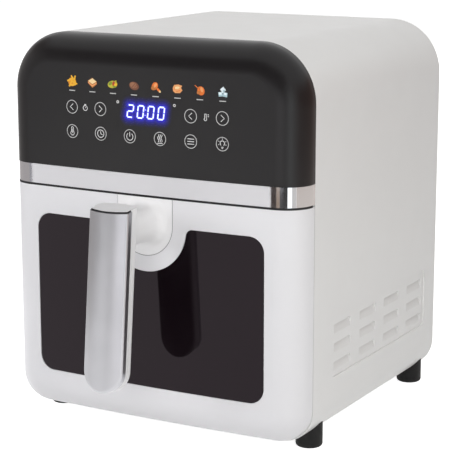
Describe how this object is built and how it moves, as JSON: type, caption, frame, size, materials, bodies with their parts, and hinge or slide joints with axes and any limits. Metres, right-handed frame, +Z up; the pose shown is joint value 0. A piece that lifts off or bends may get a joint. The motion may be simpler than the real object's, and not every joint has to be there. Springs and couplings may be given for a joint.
{
  "type": "air fryer",
  "caption": "Countertop air fryer with a bowed front, touch panel over a bright strip, smoked window, pull-out drawer with a tall handle and a lift-out crisper tray.",
  "frame": {"origin": "on the floor, under the middle of the whole width and depth, handle included", "axes": "+X to the right seen from the front, +Y to the rear cover, +Z up"},
  "size_m": [0.27, 0.349, 0.326],
  "materials": {
    "casing_white": "white moulded plastic, satin",
    "drawer_white": "white moulded plastic, satin",
    "rear_white": "white moulded plastic, matte",
    "base_black": "black moulded plastic, matte",
    "panel_charcoal": "charcoal moulded plastic, semi-gloss",
    "strip_chrome": "bright plated strip",
    "cover_silver": "satin silver cover",
    "smoked_glass": "dark smoked glass, polished",
    "clear_glass": "clear heat-proof glass",
    "rubber_black": "black rubber, matte",
    "screw_steel": "zinc-plated steel",
    "chamber_steel": "aluminised sheet steel",
    "element_steel": "heat-tinted steel tube",
    "fan_aluminium": "pressed aluminium",
    "core_steel": "stacked electrical steel",
    "coil_copper": "enamelled copper winding",
    "bush_bronze": "sintered bronze",
    "board_green": "green circuit board",
    "display_dark": "dark display module",
    "basket_coat": "dark non-stick coating"
  },
  "bodies": {
    "housing": {"outer_casing": "casing_white", "rear_cover": "rear_white", "rear_screws": "screw_steel", "base_plate": "base_black", "base_screws": "screw_steel", "foot_front_left": "rubber_black", "foot_front_right": "rubber_black", "foot_rear_left": "rubber_black", "foot_rear_right": "rubber_black", "foot_screws": "screw_steel", "front_frame": "base_black", "control_panel": "panel_charcoal", "panel_screws": "screw_steel", "trim_strip": "strip_chrome", "control_board": "board_green", "display_module": "display_dark", "touch_pads": "chamber_steel", "board_screws": "screw_steel", "chamber": "chamber_steel", "rail_left": "chamber_steel", "rail_right": "chamber_steel", "heater_dome": "chamber_steel", "heating_element": "element_steel", "heater_guard": "chamber_steel", "guard_screws": "screw_steel", "motor_spacers": "chamber_steel", "motor_plate": "chamber_steel", "stator_core": "core_steel", "stator_coil": "coil_copper", "bearing_bracket_lower": "fan_aluminium", "bearing_bracket_upper": "fan_aluminium", "bearing_bush_lower": "bush_bronze", "bearing_bush_upper": "bush_bronze", "temperature_sensor": "chamber_steel", "thermal_cutout": "chamber_steel", "lamp_lens": "clear_glass", "lamp_holder": "chamber_steel", "lamp_bulb": "clear_glass", "drawer_switch": "base_black", "power_board": "board_green", "exhaust_duct": "chamber_steel", "cord_gland": "rubber_black"},
    "rotor": {"motor_shaft": "screw_steel", "rotor_core": "core_steel", "hot_air_fan": "fan_aluminium", "fan_nut": "screw_steel", "cooling_fan": "base_black"},
    "drawer": {"drawer_front": "drawer_white", "drawer_back": "base_black", "drawer_screws": "screw_steel", "window_outer": "smoked_glass", "window_inner": "clear_glass", "window_gasket": "rubber_black", "handle_body": "drawer_white", "handle_cover": "cover_silver", "handle_screws": "screw_steel", "basket": "basket_coat", "basket_screws": "screw_steel"},
    "tray": {"crisper_tray": "basket_coat", "tray_bumpers": "rubber_black"}
  },
  "joints": [
    {"name": "drawer_slide", "type": "slide", "parent": "housing", "child": "drawer", "axis": [0, -1, 0], "range_m": [0, 0.3]},
    {"name": "tray_lift", "type": "slide", "parent": "drawer", "child": "tray", "axis": [0, 0, 1], "range_m": [0, 0.13]},
    {"name": "rotor_spin", "type": "hinge", "parent": "housing", "child": "rotor", "pos_m": [0, 0.03452, 0.274], "axis": [0, 0, 1], "continuous": true}
  ]
}
